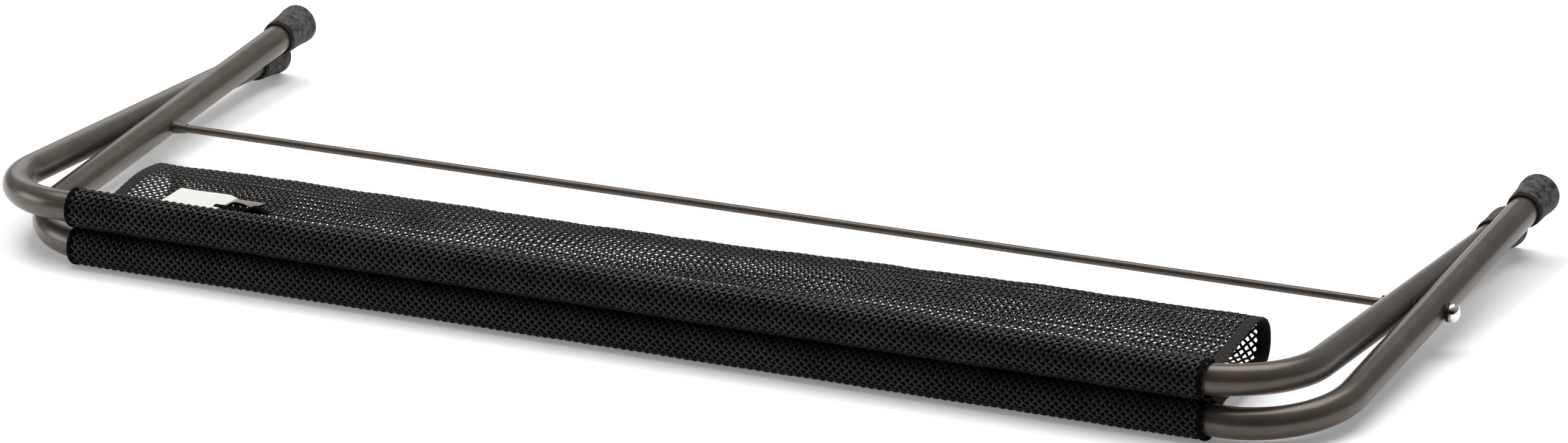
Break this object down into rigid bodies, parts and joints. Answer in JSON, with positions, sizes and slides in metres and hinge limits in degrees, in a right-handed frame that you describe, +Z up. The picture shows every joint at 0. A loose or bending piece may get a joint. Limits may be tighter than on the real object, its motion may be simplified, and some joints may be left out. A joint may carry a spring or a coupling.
{
  "type": "folding luggage rack",
  "caption": "Folding luggage rack: two U-shaped round-tube frames crossed on one long axle, with a slack mesh sling sewn round both crossbars, shown folded flat.",
  "frame": {"origin": "centre of the folded rack's box, on the floor that it lies on", "axes": "+X along the crossbars and the axle, +Y from the crossbars to the feet, +Z up from the floor"},
  "size_m": [1.0668, 0.4299, 0.0581],
  "materials": {
    "tube": "satin gunmetal powder coat",
    "rubber": "dull, chalky where worn",
    "steel": "satin",
    "chrome": "bright plated",
    "nylon": "satin",
    "mesh": "PVC-coated polyester weave, slight sheen",
    "tape": "matt woven edge tape",
    "label": "plain, unprinted"
  },
  "bodies": {
    "frame_b": {"frame_b_tube": "tube", "foot_cap_b_left": "rubber", "foot_cap_b_right": "rubber", "axle_rod": "steel", "axle_collar": "steel", "axle_clip": "steel", "axle_dome_cap": "chrome", "leg_washer_left": "nylon", "leg_washer_right": "nylon", "axle_head_washer": "nylon", "dome_cap_seat": "nylon", "sling_sleeve_b": "mesh", "sling_fold_lower": "mesh", "edge_tape_lower_left": "tape", "edge_tape_lower_right": "tape"},
    "frame_a": {"frame_a_tube": "tube", "foot_cap_a_left": "rubber", "foot_cap_a_right": "rubber", "sling_sleeve_a": "mesh", "sling_fold_upper": "mesh", "edge_tape_upper_left": "tape", "edge_tape_upper_right": "tape", "label": "label"}
  },
  "joints": [
    {"name": "fold", "type": "hinge", "parent": "frame_b", "child": "frame_a", "pos_m": [0, 0.00647, 0.02863], "axis": [-1, 0, 0], "range_deg": [0, 55]}
  ]
}
